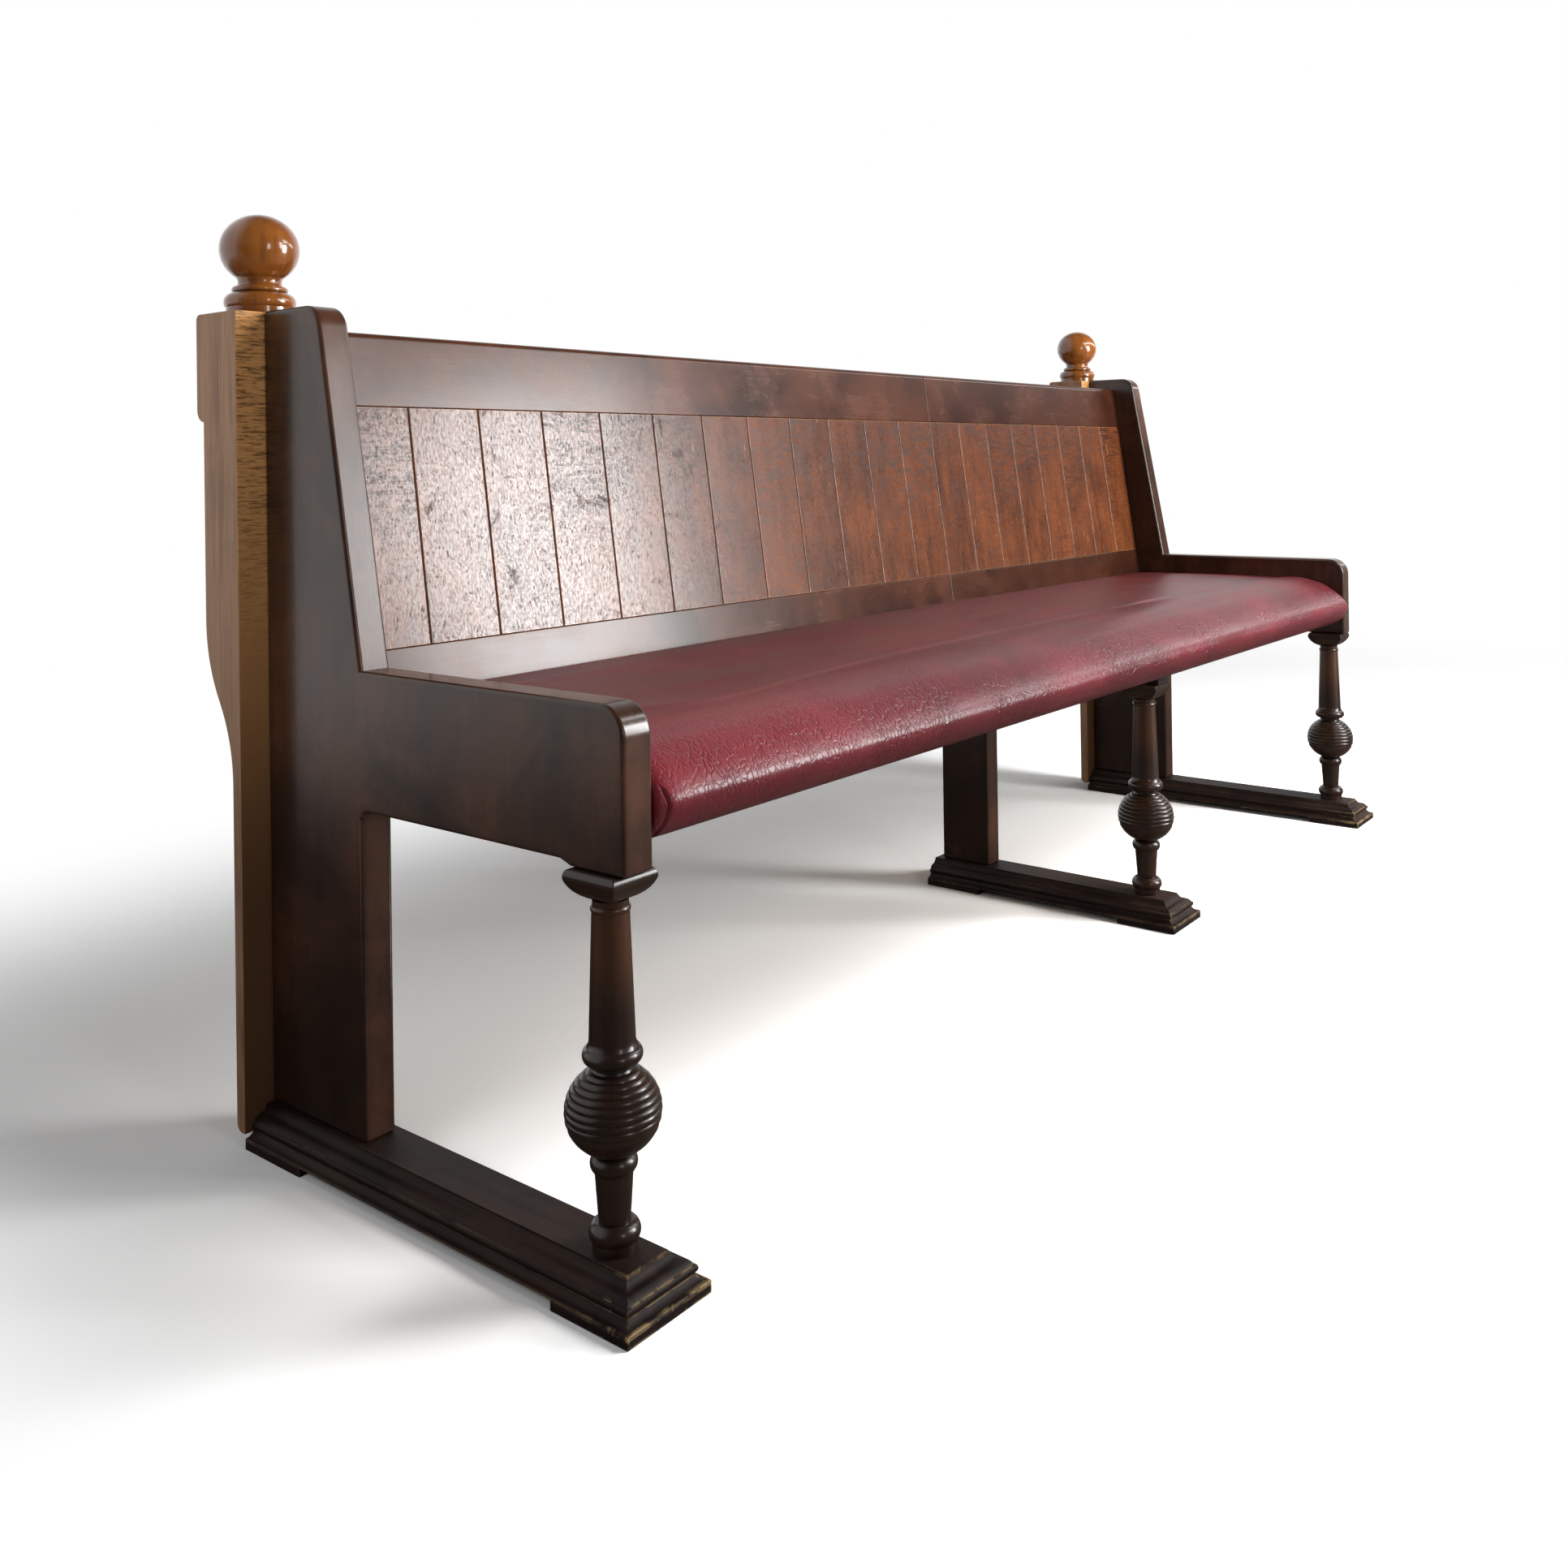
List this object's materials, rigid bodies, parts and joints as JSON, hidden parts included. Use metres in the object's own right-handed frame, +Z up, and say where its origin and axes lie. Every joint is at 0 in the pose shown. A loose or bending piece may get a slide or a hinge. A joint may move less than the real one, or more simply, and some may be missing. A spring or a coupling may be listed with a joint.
{
  "type": "brasserie bench",
  "caption": "Long panelled wall bench in dark stained wood with turned ribbed-ball legs on moulded feet, ball finials, grooved board back and a burgundy vinyl seat.",
  "frame": {"origin": "middle of the bench's box, on the floor", "axes": "+X along the bench towards its short bay, +Y from the front to the back, +Z up"},
  "size_m": [2.182, 0.6717, 1.044],
  "materials": {
    "panel_wood": "dark stained wood under gloss lacquer",
    "post_wood": "mid brown stained wood, satin lacquer",
    "finial_wood": "golden brown turned wood, high gloss lacquer",
    "leg_wood": "dark stained turned wood, gloss lacquer",
    "foot_wood": "black-brown stained wood with worn arrises",
    "pad_wood": "black-brown stained wood with worn arrises",
    "rail_wood": "red-brown stained veneer, satin lacquer",
    "board_wood": "red-brown stained boards with mottled figure, satin lacquer",
    "frame_wood": "plain sawn softwood",
    "plywood": "plain plywood",
    "seat_vinyl": "burgundy grained vinyl, satin",
    "screw_steel": "zinc plated steel"
  },
  "bodies": {
    "root": {"back_board_01": "board_wood", "back_board_02": "board_wood", "back_board_03": "board_wood", "back_board_04": "board_wood", "back_board_05": "board_wood", "back_board_06": "board_wood", "back_board_07": "board_wood", "back_board_08": "board_wood", "back_board_09": "board_wood", "back_board_10": "board_wood", "back_board_11": "board_wood", "back_board_12": "board_wood", "back_board_13": "board_wood", "back_board_14": "board_wood", "back_board_15": "board_wood", "back_board_16": "board_wood", "back_board_17": "board_wood", "back_board_18": "board_wood", "back_board_19": "board_wood", "back_board_20": "board_wood", "centre_bearer": "frame_wood", "centre_foot": "foot_wood", "centre_front_leg": "leg_wood", "centre_front_pad": "pad_wood", "centre_leg_capital": "leg_wood", "centre_rear_pad": "pad_wood", "centre_stile": "frame_wood", "centre_upright": "panel_wood", "left_bottom_rail": "rail_wood", "left_end_panel": "panel_wood", "left_finial": "finial_wood", "left_foot": "foot_wood", "left_front_leg": "leg_wood", "left_front_pad": "pad_wood", "left_leg_capital": "leg_wood", "left_rear_pad": "pad_wood", "left_rear_post": "post_wood", "left_seat_cleat": "frame_wood", "left_top_rail": "rail_wood", "long_screws": "screw_steel", "lower_batten": "frame_wood", "right_bottom_rail": "rail_wood", "right_end_panel": "panel_wood", "right_finial": "finial_wood", "right_foot": "foot_wood", "right_front_leg": "leg_wood", "right_front_pad": "pad_wood", "right_leg_capital": "leg_wood", "right_rear_pad": "pad_wood", "right_rear_post": "post_wood", "right_seat_cleat": "frame_wood", "right_top_rail": "rail_wood", "seat_cross_rails": "frame_wood", "seat_cushion": "seat_vinyl", "seat_front_rail": "frame_wood", "seat_panel": "plywood", "seat_rear_rail": "frame_wood", "short_screws": "screw_steel", "upper_batten": "frame_wood"}
  },
  "joints": []
}
